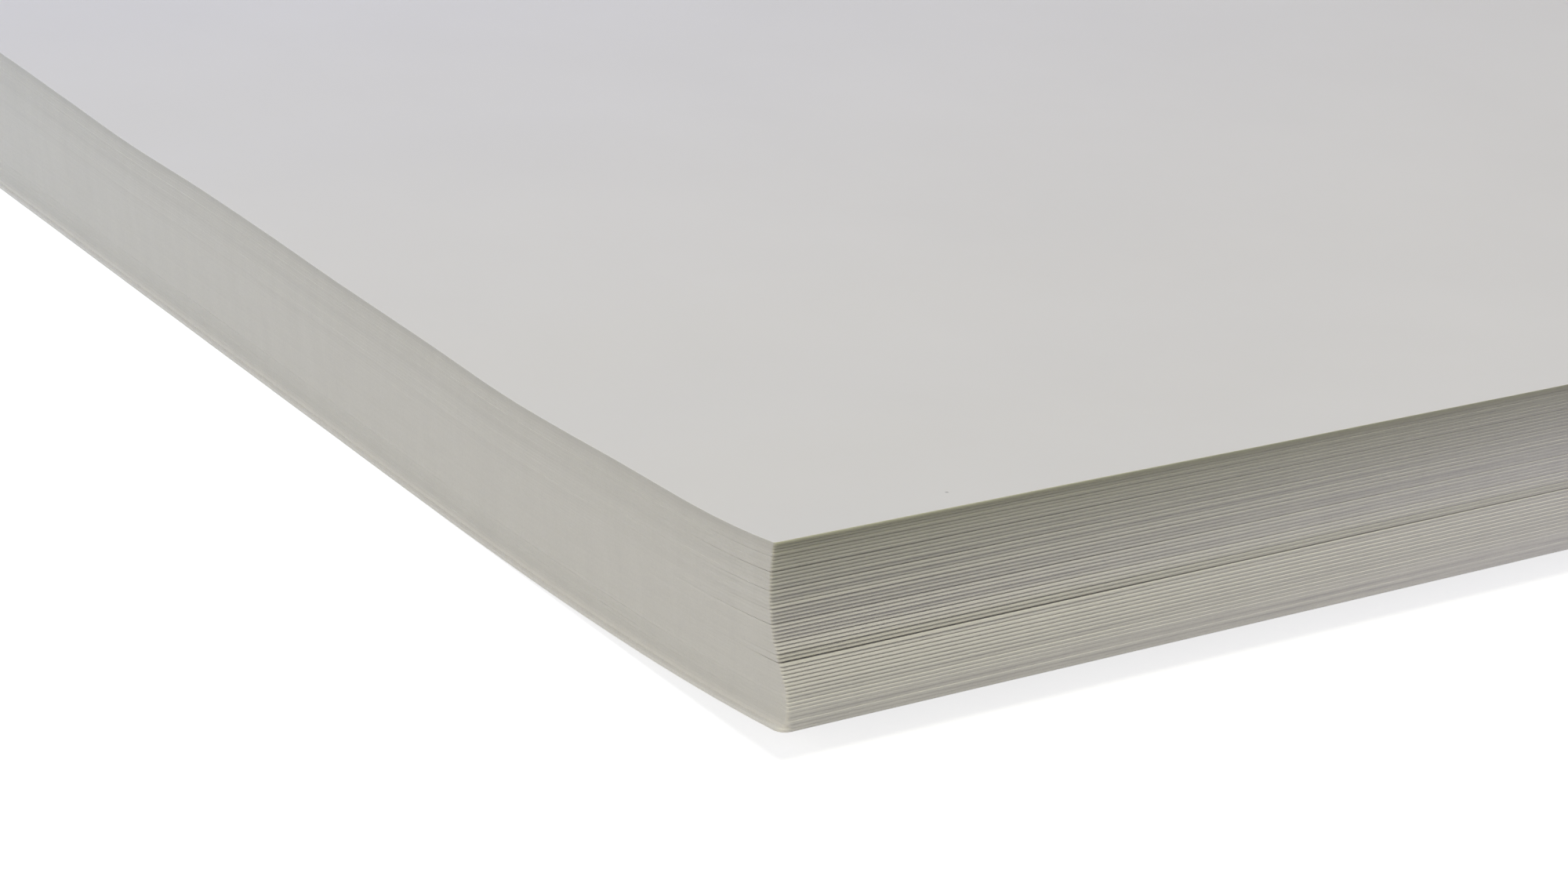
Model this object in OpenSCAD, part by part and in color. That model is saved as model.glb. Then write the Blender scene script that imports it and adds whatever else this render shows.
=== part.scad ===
// A ream of heavy watercolour paper: loose cut sheets lying on each other in a pile.
// All of them have curled up along the front edge, and the lower ones have slipped forward.
// X runs along the length of the sheets, -Y is the curled front edge and +Z is up.
// The origin is at the middle of the pile's footprint, on the surface that it lies on.

/* [Sheets] */
// Length of a sheet, along the grain
sheet_length = 457.2; // [200:0.1:800]
// Width of a sheet, from the curled front edge to the back edge
sheet_width = 304.8; // [200:0.1:600]
// Thickness of a sheet
caliper = 0.45; // [0.2:0.01:1]
// Number of sheets in the pile
sheet_count = 50; // [4:1:60]

/* [Curl] */
// How far the front edge has risen
curl_rise = 3.8; // [0.5:0.1:10]
// How far back from the front edge the sheets begin to rise
curl_reach = 114; // [70:1:160]
// How steeply the rise gathers towards the edge
curl_power = 3.7; // [2:0.1:6]
// Number of flat facets across the curl
curl_facets = 12; // [6:1:24]

/* [Air gaps] */
// How far back from the front edge the open gaps close
gap_reach = 60; // [20:1:70]

/* [Stray placing] */
// Largest stray shift of one sheet from its place
stray_shift = 0.02; // [0:0.01:0.3]
// Largest stray turn of one sheet, in degrees
stray_turn = 0.006; // [0:0.002:0.05]
// Seed of the stray placing
stray_seed = 11; // [1:1:99]

/* [Hidden] */
// Runs of sheets from the top down: how many there are, and how far each one lies
// past the sheet above it, to the front and to the right
slip_runs = [
    [1, 0.00, 0.00],
    [1, -0.18, 0.04],
    [6, 0.01, -0.02],
    [1, 0.06, 0.00],
    [4, 0.02, 0.00],
    [1, 0.06, 0.00],
    [2, 0.02, 0.01],
    [1, 0.04, 0.01],
    [1, 0.07, 0.05],
    [1, 0.10, 0.05],
    [2, -0.01, 0.05],
    [1, 0.02, 0.05],
    [1, 0.14, 0.06],
    [4, 0.05, 0.07],
    [1, 0.19, 0.09],
    [3, 0.115, 0.09],
    [1, 0.09, 0.09],
    [1, 0.24, 0.09],
    [1, 0.14, 0.05],
    [3, 0.19, 0.05],
    [1, 0.15, 0.05],
    [1, 0.19, 0.05],
    [1, 0.14, 0.05],
    [4, 0.12, -0.02],
    [2, 0.07, -0.02],
    [2, 0.04, -0.03],
    [1, 0.02, -0.05],
    [1, 0.02, -0.58],
];

// Gaps that stand open at the front edge: the sheet above, counted from the top, and the opening
open_gaps = [
    [4, 0.03],
    [8, 0.07],
    [13, 0.05],
    [18, 0.04],
    [22, 0.06],
    [27, 0.04],
    [30, 0.05],
    [32, 0.14],
];

// Sheets are numbered from the bottom of the pile, from 1
function sheet_name(i) = str("sheet_", i < 10 ? "0" : "", i);

// Place of sheet i counted from the top, where the top sheet is 1
function from_top(i) = sheet_count - i + 1;

function total(list, i = 0) = i < len(list) ? list[i] + total(list, i + 1) : 0;

// Number of sheets in run r that lie at or above the sheet in place n
function run_start(r) = total([for (k = [0 : 1 : r - 1]) slip_runs[k][0]]);
function run_taken(r, n) = max(0, min(slip_runs[r][0], n - run_start(r)));

// Slip of the sheet in place n from the top one, by column: 1 to the front, 2 to the right
function slip(n, column) = total([for (r = [0 : len(slip_runs) - 1]) run_taken(r, n) * slip_runs[r][column]]);

front_slips = [for (i = [1 : sheet_count]) slip(from_top(i), 1)];
right_slips = [for (i = [1 : sheet_count]) slip(from_top(i), 2)];

// The middle of the slips is put on the origin, so that the pile as a whole is centred
front_middle = (min(front_slips) + max(front_slips)) / 2;
right_middle = (min(right_slips) + max(right_slips)) / 2;

// Each sheet's own share of the stray placing, from -1 to 1
stray_right = rands(-1, 1, sheet_count, stray_seed);
stray_back = rands(-1, 1, sheet_count, stray_seed + 1);
stray_turns = rands(-1, 1, sheet_count, stray_seed + 2);

function centre_x(i) = right_slips[i - 1] - right_middle + stray_shift * stray_right[i - 1];
function centre_y(i) = front_middle - front_slips[i - 1] + stray_shift * stray_back[i - 1];
function turn(i) = stray_turn * stray_turns[i - 1];

// The curl is one shape in space that all the sheets follow, so that neighbours lie face to face
curl_front = -sheet_width / 2;
// Room past the nominal edges for the slips, and for the stray placing
stray_room = 5;
margin = stray_room + max(front_slips) - min(front_slips) + max(right_slips) - min(right_slips);
half_length = sheet_length / 2 + margin;
back_end = sheet_width / 2 + margin;

// Places across the curl where its facets meet, as distances from the nominal front edge. They
// lie closer together towards the edge, so that each facet strays as little from the curve
function facet_place(k) = curl_reach * (1 - pow(k / curl_facets, 2 / curl_power));
facets_past_edge = ceil(curl_facets * (pow(1 + margin / curl_reach, curl_power / 2) - 1));
stations = [for (k = [curl_facets + facets_past_edge : -1 : 0]) facet_place(k)];

// Sum of the openings that lie below sheet i
function opening_below(i) =
    total([for (g = open_gaps) g[0] >= from_top(i) && g[0] < sheet_count ? g[1] : 0]);

function curl_height(s) = curl_rise * pow(max(0, 1 - s / curl_reach), curl_power);
function gap_share(s) = pow(max(0, 1 - s / gap_reach), 2);

// Height of sheet i's underside at distance s from the nominal front edge
function underside(i, s) = (i - 1) * caliper + curl_height(s) + opening_below(i) * gap_share(s);

// Section of sheet i across the pile, longer than the sheet at both ends
module section(i) {
    below = [for (s = stations) [curl_front + s, underside(i, s)]];
    flat_below = [back_end, (i - 1) * caliper];
    flat_above = [back_end, i * caliper];
    above = [for (k = [len(stations) - 1 : -1 : 0]) below[k] + [0, caliper]];
    polygon(concat(below, [flat_below, flat_above], above));
}

// Outline of sheet i as it was cut, in its place
module outline(i) {
    translate([centre_x(i), centre_y(i)])
        rotate(turn(i))
            square([sheet_length, sheet_width], center = true);
}

// One sheet: its curled section, trimmed to its cut outline
module sheet(i) {
    pile_height = sheet_count * caliper + curl_height(stations[0]) + opening_below(sheet_count) + margin;
    color("#dfdcd6")
        intersection() {
            translate([-half_length, 0, 0])
                rotate([90, 0, 90])
                    linear_extrude(2 * half_length)
                        section(i);
            translate([0, 0, -margin])
                linear_extrude(pile_height + 2 * margin)
                    outline(i);
        }
}

for (i = [1 : sheet_count])
    sheet(i);
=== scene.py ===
"""Makes a curled ream of loose watercolour sheets look like paper, around its solid model.

Run as a script in Blender 4.5.
"""

import math

import bpy
import numpy as np
from bpy.props import FloatProperty, FloatVectorProperty, IntProperty, PointerProperty
from mathutils import Matrix, Vector
from mathutils.geometry import delaunay_2d_cdt


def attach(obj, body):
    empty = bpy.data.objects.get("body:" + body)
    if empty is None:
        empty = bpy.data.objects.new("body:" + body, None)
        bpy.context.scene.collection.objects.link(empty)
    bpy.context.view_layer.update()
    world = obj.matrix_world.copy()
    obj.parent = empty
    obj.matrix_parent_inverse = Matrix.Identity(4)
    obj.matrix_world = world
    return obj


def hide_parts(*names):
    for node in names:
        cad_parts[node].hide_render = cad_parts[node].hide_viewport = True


bl_info = {
    "name": "Watercolour Paper Ream",
    "version": (1, 0, 0),
    "blender": (4, 5, 0),
    "location": "3D View > Sidebar > Ream",
    "description": "Makes a curled pile of loose watercolour sheets around its solid model",
    "category": "Object",
}

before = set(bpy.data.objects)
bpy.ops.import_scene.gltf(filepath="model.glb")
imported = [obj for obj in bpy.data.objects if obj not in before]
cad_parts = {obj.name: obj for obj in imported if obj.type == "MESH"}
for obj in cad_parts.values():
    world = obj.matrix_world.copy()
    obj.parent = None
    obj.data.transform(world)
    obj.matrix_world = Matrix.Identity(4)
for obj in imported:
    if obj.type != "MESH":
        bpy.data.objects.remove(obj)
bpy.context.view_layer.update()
SHEETS = sorted(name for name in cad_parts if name.startswith("sheet_"))
MM = 0.001

# Names of the two paper materials: a sheet's faces, and its cut edges
FACE_PAPER = "cotton_paper_cold_pressed"
CUT_PAPER = "cotton_paper_guillotine_cut"

# Where the speck lies on the top sheet, to the right of its near corner and behind it, how wide
# it is, and what share of the paper's brightness it keeps
SPECK_FROM_CORNER = Vector((28.1, 5.3)) * MM
SPECK_WIDTH = 0.28 * MM
SPECK_SHADE = 0.6

# Most values of a noise texture lie between these two
NOISE_LOW = 0.3
NOISE_HIGH = 0.7


def linear(hex_colour):
    """Linear RGB of an sRGB hex colour such as #dfdcd6."""
    channels = [int(hex_colour[k : k + 2], 16) / 255 for k in (1, 3, 5)]
    return tuple(c / 12.92 if c <= 0.04045 else ((c + 0.055) / 1.055) ** 2.4 for c in channels)


class ReamSizes(bpy.types.PropertyGroup):
    """Sizes of the detail that a sheet of paper gets."""

    top_rim: FloatProperty(
        name="Top rim radius",
        description="Rounding where the knife went into a sheet",
        default=0.15 * MM,
        unit="LENGTH",
    )
    low_rim: FloatProperty(
        name="Low rim radius",
        description="Rounding where the knife came out of a sheet",
        default=0.08 * MM,
        unit="LENGTH",
    )
    bulge: FloatProperty(
        name="Edge bulge",
        description="How far the middle of a cut edge stands proud of its rims",
        default=0.03 * MM,
        unit="LENGTH",
    )
    crispness: FloatProperty(
        name="Crispness",
        description="How much of the rims' rounding the left, right and back edges go without",
        default=0.95,
        min=0.0,
        max=0.95,
        subtype="FACTOR",
    )
    corner: FloatProperty(
        name="Corner radius",
        description="Dulling of a sheet's four corners",
        default=0.4 * MM,
        unit="LENGTH",
    )
    lowest_corner: FloatProperty(
        name="Lowest corner radius",
        description="Dulling of the lowest sheet's corners, which have been knocked",
        default=1.4 * MM,
        unit="LENGTH",
    )
    spacing: FloatProperty(
        name="Edge spacing",
        description="Distance between the points along a cut edge",
        default=4 * MM,
        unit="LENGTH",
    )
    wander: FloatProperty(
        name="Edge wander",
        description="How far a cut edge strays from its straight line",
        default=0.03 * MM,
        unit="LENGTH",
    )
    seed: IntProperty(
        name="Seed",
        description="Seed of the strays along the edges and of each sheet's tone",
        default=7,
    )


class ReamColours(bpy.types.PropertyGroup):
    """Colours of the paper and of the stage."""

    paper: FloatVectorProperty(
        name="Paper",
        description="Natural white of the sheets' faces",
        subtype="COLOR",
        default=linear("#dfdcd6"),
    )
    cut_edge: FloatVectorProperty(
        name="Cut edge",
        description="Slightly deeper white where the sheets are cut",
        subtype="COLOR",
        default=linear("#dcd9d1"),
    )
    # Olive tint, which also darkens the upper front edges as painted shade
    olive_tint_and_painted_shade: FloatVectorProperty(
        name="Soil",
        description="Tint that handling has left on the upper front edges",
        subtype="COLOR",
        default=linear("#e6e7d2"),
    )
    floor: FloatVectorProperty(
        name="Floor",
        description="Pale floor that the ream lies on",
        subtype="COLOR",
        default=linear("#c4c4c4"),
    )


def add_node(tree, kind, inputs=None, **settings):
    """Adds a node with its settings. An input is given as a value, or as the output that feeds it."""
    node = tree.nodes.new(kind)
    for key, value in settings.items():
        setattr(node, key, value)
    for key, value in (inputs or {}).items():
        if isinstance(value, bpy.types.NodeSocket):
            tree.links.new(value, node.inputs[key])
        else:
            node.inputs[key].default_value = value
    return node


def new_material(name):
    """An empty node material and its tree."""
    material = bpy.data.materials.new(name)
    material.use_nodes = True
    material.node_tree.nodes.clear()
    return material, material.node_tree


def sheet_face_material(colours):
    """Cotton paper, mould made, lightly cold pressed and sized with gelatine.

    The felt leaves a shallow tooth about a millimetre across, and the sizing a matt surface with
    barely any sheen. The pulp is a little uneven, so that the white drifts over some centimetres.
    """
    material, tree = new_material(FACE_PAPER)
    place = add_node(tree, "ShaderNodeTexCoord").outputs["Object"]
    tone = add_node(tree, "ShaderNodeAttribute", attribute_name="tone").outputs["Fac"]
    # Uneven pulp, in patches of about 40 mm
    pulp = add_node(tree, "ShaderNodeTexNoise", {"Vector": place, "Scale": 1 / (40 * MM), "Detail": 3.0})
    pulp_tint = add_node(
        tree,
        "ShaderNodeMapRange",
        {"Value": pulp.outputs["Fac"], "From Min": NOISE_LOW, "From Max": NOISE_HIGH,
         "To Min": 0.985, "To Max": 1.01},
    )
    # Felt tooth, about 1.1 mm across, and short fibres of 0.25 mm
    tooth = add_node(
        tree,
        "ShaderNodeTexNoise",
        {"Vector": place, "Scale": 1 / (1.1 * MM), "Detail": 2.0, "Roughness": 0.45},
    )
    fibre = add_node(
        tree,
        "ShaderNodeTexNoise",
        {"Vector": place, "Scale": 1 / (0.25 * MM), "Detail": 2.0, "Roughness": 0.6},
    )
    # The speck of dirt on the top sheet
    flat_place = add_node(
        tree,
        "ShaderNodeVectorMath",
        {0: place, 1: (1.0, 1.0, 0.0)},
        operation="MULTIPLY",
    )
    speck_place = (*(Vector(SolidSheet(SHEETS[-1]).corners[0]) + SPECK_FROM_CORNER), 0.0)
    from_speck = add_node(
        tree,
        "ShaderNodeVectorMath",
        {0: flat_place.outputs["Vector"], 1: speck_place},
        operation="DISTANCE",
    )
    speck_tint = add_node(
        tree,
        "ShaderNodeMapRange",
        {"Value": from_speck.outputs["Value"], "From Min": 0.5 * SPECK_WIDTH, "From Max": SPECK_WIDTH,
         "To Min": SPECK_SHADE, "To Max": 1.0},
        interpolation_type="SMOOTHSTEP",
    )
    shade = add_node(
        tree,
        "ShaderNodeMath",
        {0: pulp_tint.outputs["Result"], 1: tone},
        operation="MULTIPLY",
    )
    shade = add_node(
        tree,
        "ShaderNodeMath",
        {0: shade.outputs["Value"], 1: speck_tint.outputs["Result"]},
        operation="MULTIPLY",
    )
    colour = add_node(
        tree,
        "ShaderNodeVectorMath",
        {0: colours.paper, "Scale": shade.outputs["Value"]},
        operation="SCALE",
    )
    fine = add_node(
        tree,
        "ShaderNodeBump",
        {"Height": fibre.outputs["Fac"], "Strength": 0.10, "Distance": 0.03 * MM},
    )
    relief = add_node(
        tree,
        "ShaderNodeBump",
        {"Height": tooth.outputs["Fac"], "Strength": 0.30, "Distance": 0.06 * MM,
         "Normal": fine.outputs["Normal"]},
    )
    surface = add_node(
        tree,
        "ShaderNodeBsdfPrincipled",
        {"Base Color": colour.outputs["Vector"], "Roughness": 0.9, "Specular IOR Level": 0.25,
         "Normal": relief.outputs["Normal"]},
    )
    add_node(tree, "ShaderNodeOutputMaterial", {"Surface": surface.outputs["BSDF"]})
    return material


def cut_edge_material(colours):
    """Cotton paper cut by a guillotine.

    The blade leaves torn fibre ends, a dry matt grain finer than the sheet is thick, and a few
    slanting marks where its edge was nicked. Those run on from sheet to sheet down the pile.
    """
    material, tree = new_material(CUT_PAPER)
    place = add_node(tree, "ShaderNodeTexCoord").outputs["Object"]
    # Each sheet's edge tone: painted light and shade by its place in the pile, times a random spread
    tone = add_node(tree, "ShaderNodeAttribute", attribute_name="edge_tone_and_painted_shading").outputs["Fac"]
    # Fibre ends, 0.3 mm across, drawn coarser than real ones so that they show
    ends = add_node(
        tree,
        "ShaderNodeTexNoise",
        {"Vector": place, "Scale": 1 / (0.3 * MM), "Detail": 3.0, "Roughness": 0.6},
    )
    ends_tint = add_node(
        tree,
        "ShaderNodeMapRange",
        {"Value": ends.outputs["Fac"], "From Min": NOISE_LOW, "From Max": NOISE_HIGH,
         "To Min": 0.975, "To Max": 1.015},
    )
    # Marks of the blade: slanting bands about 6 mm apart, that fade in and out along the edge
    slanted = add_node(
        tree,
        "ShaderNodeMapping",
        {"Vector": place, "Rotation": (0.0, math.radians(-28.0), math.radians(45.0)),
         "Scale": (1.0, 1.0, 0.04)},
    )
    marks = add_node(
        tree,
        "ShaderNodeTexNoise",
        {"Vector": slanted.outputs["Vector"], "Scale": 1 / (3 * MM), "Detail": 2.0},
    )
    mark_tint = add_node(
        tree,
        "ShaderNodeMapRange",
        {"Value": marks.outputs["Fac"], "From Min": NOISE_LOW, "From Max": NOISE_HIGH,
         "To Min": 0.985, "To Max": 1.01},
    )
    shade = add_node(
        tree,
        "ShaderNodeMath",
        {0: ends_tint.outputs["Result"], 1: tone},
        operation="MULTIPLY",
    )
    shade = add_node(
        tree,
        "ShaderNodeMath",
        {0: shade.outputs["Value"], 1: mark_tint.outputs["Result"]},
        operation="MULTIPLY",
    )
    colour = add_node(
        tree,
        "ShaderNodeVectorMath",
        {0: colours.cut_edge, "Scale": shade.outputs["Value"]},
        operation="SCALE",
    )
    # The front of the upper sheets is tinted olive and darkened with painted shade, most under the top
    # sheet's rim
    olive_tint_and_painted_shade = add_node(tree, "ShaderNodeAttribute", attribute_name="olive_tint_and_painted_shade").outputs["Fac"]
    tint_and_painted_shade_colour = add_node(
        tree,
        "ShaderNodeMix",
        {"Factor": olive_tint_and_painted_shade, "A": (1.0, 1.0, 1.0, 1.0), "B": (*colours.olive_tint_and_painted_shade, 1.0)},
        data_type="RGBA",
    )
    colour = add_node(
        tree,
        "ShaderNodeVectorMath",
        {0: colour.outputs["Vector"], 1: tint_and_painted_shade_colour.outputs["Result"]},
        operation="MULTIPLY",
    )
    relief = add_node(
        tree,
        "ShaderNodeBump",
        {"Height": ends.outputs["Fac"], "Strength": 0.25, "Distance": 0.02 * MM},
    )
    surface = add_node(
        tree,
        "ShaderNodeBsdfPrincipled",
        {"Base Color": colour.outputs["Vector"], "Roughness": 0.95, "Specular IOR Level": 0.15,
         "Normal": relief.outputs["Normal"]},
    )
    add_node(tree, "ShaderNodeOutputMaterial", {"Surface": surface.outputs["BSDF"]})
    return material


class SolidSheet:
    """The cut outline, the section and the thickness of one solid sheet, read from the frame."""

    def __init__(self, name):
        points = np.array([v.co[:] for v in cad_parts[name].data.vertices], float)
        low, high = points.min(0), points.max(0)
        share = (points - (low + high) / 2) / (high - low)
        quarters = ((-1, -1), (1, -1), (1, 1), (-1, 1))
        farthest = [np.argmax(share[:, 0] * x + share[:, 1] * y) for x, y in quarters]
        self.corners = points[farthest, :2]
        left = points[share[:, 0] < 0]
        rows = np.round(left[:, 1], 6)
        self.stations = np.unique(rows)
        heights = [left[rows == y, 2].min() for y in self.stations]
        self.thickness = left[rows == self.stations[-1], 2].max() - heights[-1]
        self.underside = smooth_curve(list(zip(self.stations, heights)))


def waves(rng, period, lengths):
    """A smooth random curve that repeats after a period, made of one wave for each length."""
    parts = []
    for length in lengths:
        count = max(1, round(period / length))
        parts.append((count, rng.uniform(0, 2 * math.pi), rng.uniform(0.5, 1.0)))
    total = sum(size for _, _, size in parts)

    def curve(along):
        turns = 2 * math.pi * np.asarray(along) / period
        return sum(size * np.sin(count * turns + phase) for count, phase, size in parts) / total

    return curve


# How far the top sheet's left edge waves up or down, by the distance from the front, in mm
EDGE_WAVES = (
    (0, -0.10),
    (12, -0.04),
    (32, 0.26),
    (60, -0.26),
    (80, 0.0),
    (105, 0.0),
    (128, 0.18),
    (148, 0.10),
    (170, -0.30),
    (190, 0.0),
    (215, 0.35),
    (260, 0.1),
    (305, 0.0),
)

# How far the front cut leans back from upright, in degrees, by the sheet's place from the top.
# The pile moved a little under the knife, so that the upper edges lean out over the lower ones.
FRONT_LEAN = ((1, -8), (8, -7), (20, 0), (33, 5), (42, 8), (46, 6), (50, 5))

# Painted light and shade on the cut edges at the front and on the left, by the sheet's place from the
# top: darker near the top, and lighter towards the bottom
FRONT_PAINTED_SHADING = (
    (1, 0.97),
    (8, 0.96),
    (20, 1.06),
    (30, 1.07),
    (35, 1.07),
    (42, 1.08),
    (46, 1.2),
    (50, 1.25),
)
LEFT_PAINTED_SHADING = (
    (1, 0.88),
    (4, 0.93),
    (9, 0.95),
    (14, 0.985),
    (20, 1.01),
    (28, 1.03),
    (40, 1.02),
    (48, 0.99),
    (49, 1.03),
    (50, 1.15),
)

# How worn the rims of the cut edges are, by the sheet's place from the top
WEAR = ((1, 1.0), (42, 0.9), (46, 0.35), (50, 0.3))

# How much olive tint and painted shade the front edge takes, by the sheet's place from the top: the
# painted shade is darkest under the top sheet's overhang, fades down the pile, and comes back in a short
# band around the 32nd sheet, where a gap lies
FRONT_TINT_AND_PAINTED_SHADE = (
    (1, 1.0),
    (2, 0.8),
    (5, 0.55),
    (12, 0.3),
    (22, 0.08),
    (30, 0.1),
    (31.5, 0.3),
    (33, 0.1),
    (50, 0.0),
)

# How much the sheets differ in tone from each other, on their faces and at their edges
FACE_TONE_SPREAD = 0.004
EDGE_TONE_SPREAD = 0.007

# The air gaps close by shares of their opening: to the right, the widest gap most, and just behind
# the front along the left edge
CLOSED_RIGHT = 0.55
RIGHT_REACH = 130 * MM
CLOSED_LEFT = 0.9
LEFT_REACH = 25 * MM
BEHIND_REACH = 9 * MM

# At the near corner they stand wider open
OPENED_CORNER = 0.22
CORNER_REACH = 60 * MM

# Along the front each gap closes and opens by this share more, in waves of these lengths. What
# that makes in all never goes past the last two shares
CLOSING_WAVE = 0.25
CLOSING_WAVE_LENGTHS = (170 * MM, 90 * MM, 47 * MM)
LEAST_CLOSED = -0.4
MOST_CLOSED = 0.95

# An opening narrower than this is no gap
LEAST_GAP = 0.01 * MM

# How far from the left edge the waves of the sheets reach
WAVE_REACH = 120 * MM

# Lengths of the waves in which a cut edge strays from its line
STRAY_WAVE_LENGTHS = (310 * MM, 120 * MM, 55 * MM, 23 * MM)

# The near corner has been handled most. Far from it, the rims keep this share of their rounding
FAR_HANDLING = 0.2
HANDLED_REACH = 70 * MM

# About how many of the lowest sheets have knocked corners
KNOCKED_SHEETS = 1.5

# How deep the middle of a quarter round lies, as a share of its radius
ROUND_MIDDLE = 0.3

# Added to the seed for the lowest sheet, so that no sheet draws what the gaps draw
FIRST_SHEET_SEED = 100


def faded(distance, reach):
    """1 at no distance, and smoothly down to almost nothing at twice the reach."""
    return np.exp(-((distance / reach) ** 2))


def smooth_curve(knots):
    """A smooth function of one number that passes through the knots."""
    places, values = (np.array(column, float) for column in zip(*knots))
    slopes = np.gradient(values, places)

    def curve(x):
        x = np.clip(x, places[0], places[-1])
        k = np.clip(np.searchsorted(places, x) - 1, 0, len(places) - 2)
        width = places[k + 1] - places[k]
        t = (x - places[k]) / width
        from_low = (1 + 2 * t) * (1 - t) ** 2 * values[k] + t * (1 - t) ** 2 * width * slopes[k]
        from_high = t * t * (3 - 2 * t) * values[k + 1] - t * t * (1 - t) * width * slopes[k + 1]
        return from_low + from_high

    return curve


class Pile:
    """The sheets in order from the bottom, and how far the air gaps between them stand open."""

    def __init__(self, sizes):
        self.sheets = [SolidSheet(name) for name in SHEETS]
        length = np.ptp(self.sheets[0].corners[:, 0])
        rng = np.random.default_rng(sizes.seed)
        self.left, self.front = self.sheets[-1].corners[0]
        self.wave = smooth_curve(EDGE_WAVES)
        self.lean = smooth_curve(FRONT_LEAN)
        self.front_painted_shading = smooth_curve(FRONT_PAINTED_SHADING)
        self.left_painted_shading = smooth_curve(LEFT_PAINTED_SHADING)
        self.olive_tint_and_painted_shade = smooth_curve(FRONT_TINT_AND_PAINTED_SHADE)
        self.wear = smooth_curve(WEAR)
        self.gaps = []
        for lower, upper in zip(self.sheets, self.sheets[1:]):
            inner = upper.stations[1:-1]
            opening = upper.underside(inner) - lower.underside(inner) - lower.thickness
            open_here = opening.max() > LEAST_GAP
            curve = waves(rng, 2 * length, CLOSING_WAVE_LENGTHS)
            self.gaps.append((inner, np.clip(opening, 0, None), curve) if open_here else None)
        self.widest = max(gap[1].max() for gap in self.gaps if gap)

    def closing(self, i, x, y):
        """How far sheet i lies lower at x, y than its solid, because the gaps under it have closed.

        Where they stand wider open than between the solids, the sheet lies higher instead.
        """
        drop = np.zeros_like(x)
        to_the_right = 1 - faded(x - self.left, RIGHT_REACH)
        behind = 1 - np.exp(-np.clip(y - self.front, 0, None) / BEHIND_REACH)
        closed = CLOSED_LEFT * behind * faded(x - self.left, LEFT_REACH)
        closed -= OPENED_CORNER * faded(x - self.left, CORNER_REACH)
        for gap in self.gaps[:i]:
            if gap:
                stations, opening, curve = gap
                closed_here = closed + CLOSED_RIGHT * to_the_right * opening.max() / self.widest
                closed_here += CLOSING_WAVE * curve(x)
                share = np.clip(closed_here, LEAST_CLOSED, MOST_CLOSED)
                drop += np.interp(y, stations, opening) * share
        return drop

    def waviness(self, i, x, y):
        """How far sheet i waves up at x, y: most on the top sheet, and along its left edge."""
        height = self.wave((y - self.front) / MM) * MM
        return height * faded(x - self.left, WAVE_REACH) * (i + 1) / len(self.sheets)

    def underside(self, i, x, y):
        """Height of sheet i's underside."""
        return self.sheets[i].underside(y) - self.closing(i, x, y) + self.waviness(i, x, y)

    def place_from_top(self, i):
        """Sheet i's place counted from the top, where the top sheet is 1."""
        return len(self.sheets) - i


def outline_path(corners, radius, spacing):
    """Points once round a sheet, anticlockwise, with dulled corners, and the way out at each point."""
    arc_steps = 4
    points, outs = [], []
    for k in range(4):
        here, before, after = corners[k], corners[k - 1], corners[(k + 1) % 4]
        arriving = (here - before) / np.linalg.norm(here - before)
        leaving = (after - here) / np.linalg.norm(after - here)
        out_arriving = np.array([arriving[1], -arriving[0]])
        out_leaving = np.array([leaving[1], -leaving[0]])
        middle = here - radius * (out_arriving + out_leaving)
        for step in range(arc_steps + 1):
            turn = step / arc_steps * math.pi / 2
            out = math.cos(turn) * out_arriving + math.sin(turn) * out_leaving
            points.append(middle + radius * out)
            outs.append(out)
        run = np.linalg.norm(after - here) - 2 * radius
        count = max(1, round(run / spacing))
        for step in range(1, count):
            points.append(middle + radius * out_leaving + leaving * run * step / count)
            outs.append(out_leaving)
    return np.array(points), np.array(outs)


def inner_points(corners, across, along):
    """An even grid of points inside a sheet, about this far apart across and along it."""
    low, high = corners.min(0), corners.max(0)
    columns = np.linspace(low[0], high[0], max(3, round((high[0] - low[0]) / across) + 1))[1:-1]
    rows = np.linspace(low[1], high[1], max(3, round((high[1] - low[1]) / along) + 1))[1:-1]
    return np.array([(x, y) for y in rows for x in columns])


def filled(rim, inside):
    """Triangles that fill a closed rim of points and use the points inside it."""
    same_place = 1e-9
    everything = [Vector(p) for p in np.vstack([rim, inside])]
    border = [(k, (k + 1) % len(rim)) for k in range(len(rim))]
    only_inside = 1
    points, _, faces, sources, _, _ = delaunay_2d_cdt(everything, border, [], only_inside, same_place)
    if len(points) != len(everything):
        raise RuntimeError("a sheet's outline crosses itself")
    # The triangles number the points anew, and these are the numbers that they came in with
    given = [min(source) for source in sources]
    return [tuple(given[v] for v in face) for face in faces]


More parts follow.
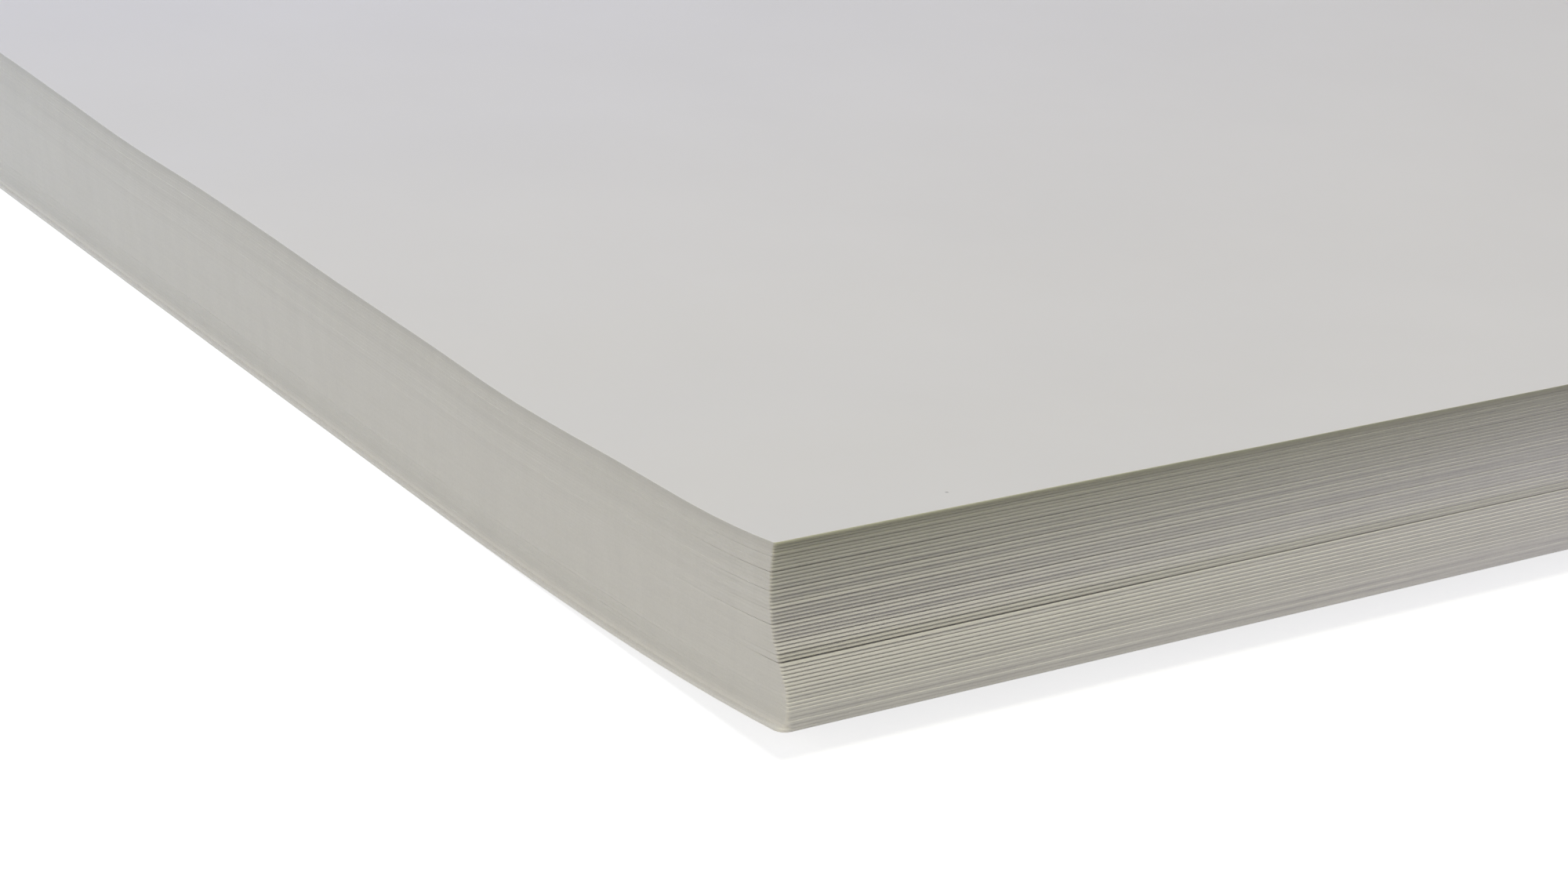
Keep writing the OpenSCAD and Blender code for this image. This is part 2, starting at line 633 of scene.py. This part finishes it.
def sheet_mesh(pile, i, sizes, across, along):
    """One sheet as paper: rounded rims, a bulging cut edge and both faces, as one closed mesh.

    Gives its points and faces, the range of faces that are cut edge, the olive tint with painted
    shade and the edge tone with painted light and shade at each point, and the random source, from
    which the sheet's own tones are drawn next.
    """
    solid = pile.sheets[i]
    place = pile.place_from_top(i)
    rng = np.random.default_rng(sizes.seed + FIRST_SHEET_SEED + i)
    knocked = math.exp(-i / KNOCKED_SHEETS)
    corner = sizes.corner + (sizes.lowest_corner - sizes.corner) * knocked
    path, outs = outline_path(solid.corners, corner, sizes.spacing)
    steps = np.linalg.norm(np.roll(path, -1, 0) - path, axis=1)
    around = np.concatenate([[0.0], np.cumsum(steps)[:-1]])
    stray = waves(rng, steps.sum(), STRAY_WAVE_LENGTHS)(around) * sizes.wander
    path = path + outs * stray[:, None]
    thick = solid.thickness
    facing_front = np.clip(-outs[:, 1], 0, 1)
    facing_left = np.clip(-outs[:, 0], 0, 1)
    from_corner = np.linalg.norm(path - np.array([pile.left, pile.front]), axis=1)
    handled = FAR_HANDLING + (1 - FAR_HANDLING) * faded(from_corner, HANDLED_REACH)
    roundness = (1 - sizes.crispness * (1 - facing_front)) * handled * pile.wear(place)
    top = sizes.top_rim * roundness
    low = sizes.low_rim * roundness
    bulge = sizes.bulge * roundness
    # The faces begin at this inset, which is past the widest rim and short of the corners' radius
    shelf = np.full(len(path), 2 * sizes.top_rim)
    nothing = 0 * top
    all_through = thick + 0 * top
    # Each ring round the edge: how far in from the outline, and how far below the top face
    rings = [(shelf, nothing), (top, nothing), (ROUND_MIDDLE * top, ROUND_MIDDLE * top)]
    for share in (0.0, 0.25, 0.5, 0.75, 1.0):
        rings.append((-bulge * 4 * share * (1 - share), top + share * (thick - top - low)))
    rings.append((ROUND_MIDDLE * low, thick - ROUND_MIDDLE * low))
    rings += [(low, all_through), (shelf, all_through)]
    lean = facing_front * math.tan(math.radians(pile.lean(place)))

    def ring_points(inset, below):
        """One ring of the edge: square to the floor, but for the lean of the front."""
        flat = path - outs * (inset + lean * (thick / 2 - below))[:, None]
        return placed(flat, below)

    def placed(flat, below):
        """Points of the sheet over flat places, at a depth below its top face."""
        x, y = flat[:, 0], flat[:, 1]
        return np.column_stack([x, y, pile.underside(i, x, y) + thick - below])

    inside = inner_points(solid.corners, across, along)
    blocks = [ring_points(inset, below) for inset, below in rings]
    blocks += [placed(inside, 0.0), placed(inside, thick)]
    count = len(path)
    last_ring = (len(rings) - 1) * count
    top_inside = len(rings) * count
    bottom_inside = top_inside + len(inside)
    faces = []
    for ring in range(len(rings) - 1):
        for k in range(count):
            upper, lower = ring * count, (ring + 1) * count
            after = (k + 1) % count
            faces.append((upper + k, lower + k, lower + after, upper + after))
    # The first and the last strip between two rings belong to the sheet's faces
    edge_faces = range(count, (len(rings) - 2) * count)
    triangles = filled(path - outs * shelf[:, None], inside)
    for face in triangles:
        upper = [v if v < count else v - count + top_inside for v in face]
        lower = [v + last_ring if v < count else v - count + bottom_inside for v in reversed(face)]
        faces += [tuple(upper), tuple(lower)]
    # Olive tint and painted shade on the upper front edges
    olive_tint_and_painted_shade = np.zeros(len(rings) * count + 2 * len(inside))
    olive_tint_and_painted_shade[:top_inside] = np.tile(facing_front * pile.olive_tint_and_painted_shade(place), len(rings))
    edge_tone_and_painted_shading = np.ones_like(olive_tint_and_painted_shade)
    # Painted light and shade on the front and left edges, by the sheet's place from the top
    tone = 1 + facing_front * (pile.front_painted_shading(place) - 1) + facing_left * (pile.left_painted_shading(place) - 1)
    edge_tone_and_painted_shading[:top_inside] = np.tile(tone, len(rings))
    return np.vstack(blocks), faces, edge_faces, olive_tint_and_painted_shade, edge_tone_and_painted_shading, rng


def add_sheet(pile, i, sizes, materials, across, along):
    """Makes sheet i as an object that stands for its solid."""
    node = SHEETS[i]
    points, faces, edge_faces, olive_tint_and_painted_shade, edge_tone_and_painted_shading, rng = sheet_mesh(pile, i, sizes, across, along)
    mesh = bpy.data.meshes.new("paper_" + node)
    mesh.from_pydata(points.tolist(), [], faces)
    for material in materials:
        mesh.materials.append(material)
    slots = np.zeros(len(faces), np.int32)
    slots[edge_faces.start : edge_faces.stop] = 1
    mesh.polygons.foreach_set("material_index", slots)
    mesh.polygons.foreach_set("use_smooth", np.ones(len(faces), bool))
    whole = np.ones(len(points), np.float32)
    tones = {
        "tone": whole * rng.normal(1.0, FACE_TONE_SPREAD),
        # Painted light and shade on the edges, times a random spread between the sheets
        "edge_tone_and_painted_shading": edge_tone_and_painted_shading * rng.normal(1.0, EDGE_TONE_SPREAD),
        "olive_tint_and_painted_shade": olive_tint_and_painted_shade,
    }
    for name, values in tones.items():
        attribute = mesh.attributes.new(name, "FLOAT", "POINT")
        attribute.data.foreach_set("value", values.astype(np.float32))
    mesh.validate()
    mesh.update()
    piece = bpy.data.objects.new("paper_" + node, mesh)
    bpy.context.scene.collection.objects.link(piece)
    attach(piece, "root")
    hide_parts(node)
    return piece


def paper_materials(colours):
    """The two paper materials, made once and then found by name."""
    made = [bpy.data.materials.get(name) for name in (FACE_PAPER, CUT_PAPER)]
    return made if all(made) else [sheet_face_material(colours), cut_edge_material(colours)]


class REAM_OT_lower_sheets(bpy.types.Operator):
    """Make all the sheets that lie under the top one"""

    bl_idname = "ream.lower_sheets"
    bl_label = "Lower Sheets"

    def execute(self, context):
        sizes, colours = context.scene.ream_sizes, context.scene.ream_colours
        pile = Pile(sizes)
        materials = paper_materials(colours)
        for i in range(len(SHEETS) - 1):
            add_sheet(pile, i, sizes, materials, across=40 * MM, along=9 * MM)
        return {"FINISHED"}


class REAM_OT_top_sheet(bpy.types.Operator):
    """Make the top sheet, whose whole face shows, with a closer mesh"""

    bl_idname = "ream.top_sheet"
    bl_label = "Top Sheet"

    def execute(self, context):
        sizes, colours = context.scene.ream_sizes, context.scene.ream_colours
        pile = Pile(sizes)
        add_sheet(pile, len(SHEETS) - 1, sizes, paper_materials(colours), across=8 * MM, along=4 * MM)
        return {"FINISHED"}


# Where the camera stands, from the foot of the ream's near corner under the top sheet
CAMERA_FROM_CORNER = Vector((-225.8, -311.2, 193.4)) * MM
CAMERA_HEADING = math.radians(35.964)
CAMERA_DIP = math.radians(21.788)
CAMERA_ROLL = math.radians(-4.758)
CAMERA_LENS = 85.70


def add_camera():
    """A long lens that looks down at the near corner, slightly tilted."""
    corner = SolidSheet(SHEETS[-1]).corners[0]
    level = math.cos(CAMERA_DIP)
    east, north = math.sin(CAMERA_HEADING), math.cos(CAMERA_HEADING)
    forward = Vector((east * level, north * level, -math.sin(CAMERA_DIP)))
    right = Vector((north, -east, 0.0))
    down = forward.cross(right)
    turned_right = math.cos(CAMERA_ROLL) * right + math.sin(CAMERA_ROLL) * down
    turned_down = math.cos(CAMERA_ROLL) * down - math.sin(CAMERA_ROLL) * right
    lens = bpy.data.cameras.new("camera")
    lens.lens = CAMERA_LENS
    lens.clip_start, lens.clip_end = 0.01, 20.0
    camera = bpy.data.objects.new("camera", lens)
    bpy.context.scene.collection.objects.link(camera)
    turn = Matrix((turned_right, -turned_down, -forward)).transposed()
    camera.matrix_world = Matrix.Translation(Vector((*corner, 0.0)) + CAMERA_FROM_CORNER) @ turn.to_4x4()
    bpy.context.scene.camera = camera


# Each lamp's name, the way to it from the ream, its distance, size, power and colour. The light
# comes softly from above and from the left. Three weak, cool lamps light the far and right parts.
LAMPS = (
    ("above", (-0.15, -0.2, 0.97), 1.5, (0.95, 0.75), 12.5, "#fefeea"),
    ("side", (-0.96, -0.15, 0.2), 2.0, (1.2, 0.8), 12.48, "#fff8ef"),
    ("window", (-0.55, 0.3, 0.1), 0.634, (0.3, 0.2), 0.443, "#bcdaff"),
    ("back", (-0.15, 0.45, 0.5), 0.69, (0.5, 0.3), 1.4, "#95a0ff"),
    ("right", (0.03, -0.34, 0.1), 0.356, (0.2, 0.14), 0.081, "#bcb3ff"),
)


def add_lamp(name, toward, distance, size, power, colour):
    """A soft rectangular lamp that shines at the middle of the ream."""
    lamp = bpy.data.lights.new(name, "AREA")
    lamp.shape = "RECTANGLE"
    lamp.size, lamp.size_y = size
    lamp.energy = power
    lamp.color = linear(colour)
    holder = bpy.data.objects.new(name, lamp)
    direction = Vector(toward).normalized()
    # The lamp's long side lies square to the ream's front
    side = Vector((0.0, 1.0, 0.0)).cross(direction).normalized()
    turn = Matrix((side, direction.cross(side), direction)).transposed()
    holder.matrix_world = Matrix.Translation(direction * distance) @ turn.to_4x4()
    bpy.context.scene.collection.objects.link(holder)


def seen_directly(tree):
    """1 for rays that show the background itself: from the camera, or by way of gloss or glass."""
    path = add_node(tree, "ShaderNodeLightPath")
    either = add_node(
        tree,
        "ShaderNodeMath",
        {0: path.outputs["Is Camera Ray"], 1: path.outputs["Is Glossy Ray"]},
        operation="MAXIMUM",
    )
    return add_node(
        tree,
        "ShaderNodeMath",
        {0: either.outputs["Value"], 1: path.outputs["Is Transmission Ray"]},
        operation="MAXIMUM",
    ).outputs["Value"]


def set_world(ambient):
    """Even, pale ambient light, that is plain white where it is seen."""
    world = bpy.data.worlds.new("studio")
    world.use_nodes = True
    tree = world.node_tree
    tree.nodes.clear()
    pale = (*linear("#fbfcff"), 1.0)
    light = add_node(tree, "ShaderNodeBackground", {"Color": pale, "Strength": ambient})
    white = add_node(tree, "ShaderNodeBackground", {"Color": (1.0, 1.0, 1.0, 1.0), "Strength": 1.0})
    mixed = add_node(
        tree,
        "ShaderNodeMixShader",
        {0: seen_directly(tree), 1: light.outputs[0], 2: white.outputs[0]},
    )
    add_node(tree, "ShaderNodeOutputWorld", {"Surface": mixed.outputs[0]})
    bpy.context.scene.world = world


# How brightly the floor glows where it is seen, within the near distance and past the far one
NEAR_GLOW = 0.78
FAR_GLOW = 1.0
NEAR_FLOOR = 0.5
FAR_FLOOR = 1.0


def floor_material(colours):
    """Matt painted board. It glows where it is seen, so that it is white but keeps shadows."""
    material, tree = new_material("floor_painted_board")
    board = add_node(tree, "ShaderNodeBsdfDiffuse", {"Color": (*colours.floor, 1.0)})
    # Far from the ream the lamps are weak, and the glow alone makes the floor white
    place = add_node(tree, "ShaderNodeTexCoord").outputs["Object"]
    away = add_node(tree, "ShaderNodeVectorMath", {0: place}, operation="LENGTH")
    brightness = add_node(
        tree,
        "ShaderNodeMapRange",
        {"Value": away.outputs["Value"], "From Min": NEAR_FLOOR, "From Max": FAR_FLOOR,
         "To Min": NEAR_GLOW, "To Max": FAR_GLOW},
    )
    glow_strength = add_node(
        tree,
        "ShaderNodeMath",
        {0: seen_directly(tree), 1: brightness.outputs["Result"]},
        operation="MULTIPLY",
    )
    glow = add_node(tree, "ShaderNodeEmission", {"Strength": glow_strength.outputs["Value"]})
    both = add_node(tree, "ShaderNodeAddShader", {0: board.outputs[0], 1: glow.outputs[0]})
    add_node(tree, "ShaderNodeOutputMaterial", {"Surface": both.outputs[0]})
    return material


class REAM_OT_stage(bpy.types.Operator):
    """Set the floor, the lamps, the world and the camera"""

    bl_idname = "ream.stage"
    bl_label = "Stage"

    def execute(self, context):
        half_side = 3.0
        # A hair under the ream, so that the two faces don't lie in one plane
        below = 0.05 * MM
        mesh = bpy.data.meshes.new("floor")
        ring = [(-1, -1), (1, -1), (1, 1), (-1, 1)]
        mesh.from_pydata([(x * half_side, y * half_side, -below) for x, y in ring], [], [(0, 1, 2, 3)])
        mesh.materials.append(floor_material(context.scene.ream_colours))
        floor = bpy.data.objects.new("floor", mesh)
        context.scene.collection.objects.link(floor)
        set_world(ambient=0.15)
        for lamp in LAMPS:
            add_lamp(*lamp)
        context.scene.view_settings.view_transform = "Standard"
        add_camera()
        return {"FINISHED"}


class REAM_PT_panel(bpy.types.Panel):
    """Sidebar panel with the ream's sizes, colours and steps"""

    bl_label = "Watercolour Paper Ream"
    bl_idname = "REAM_PT_panel"
    bl_space_type = "VIEW_3D"
    bl_region_type = "UI"
    bl_category = "Ream"

    def draw(self, context):
        for group in (context.scene.ream_sizes, context.scene.ream_colours):
            box = self.layout.box()
            for name in group.bl_rna.properties.keys():
                if name not in ("rna_type", "name"):
                    box.prop(group, name)
        for operator in STEPS:
            self.layout.operator(operator.bl_idname)


STEPS = (REAM_OT_lower_sheets, REAM_OT_top_sheet, REAM_OT_stage)
CLASSES = (ReamSizes, ReamColours, *STEPS, REAM_PT_panel)


def register():
    for cls in CLASSES:
        bpy.utils.register_class(cls)
    bpy.types.Scene.ream_sizes = PointerProperty(type=ReamSizes)
    bpy.types.Scene.ream_colours = PointerProperty(type=ReamColours)


def unregister():
    del bpy.types.Scene.ream_colours
    del bpy.types.Scene.ream_sizes
    for cls in reversed(CLASSES):
        bpy.utils.unregister_class(cls)


def main():
    """Makes the ream and its stage."""
    register()
    bpy.ops.ream.lower_sheets()
    bpy.ops.ream.top_sheet()
    bpy.ops.ream.stage()


if __name__ == "__main__":
    main()
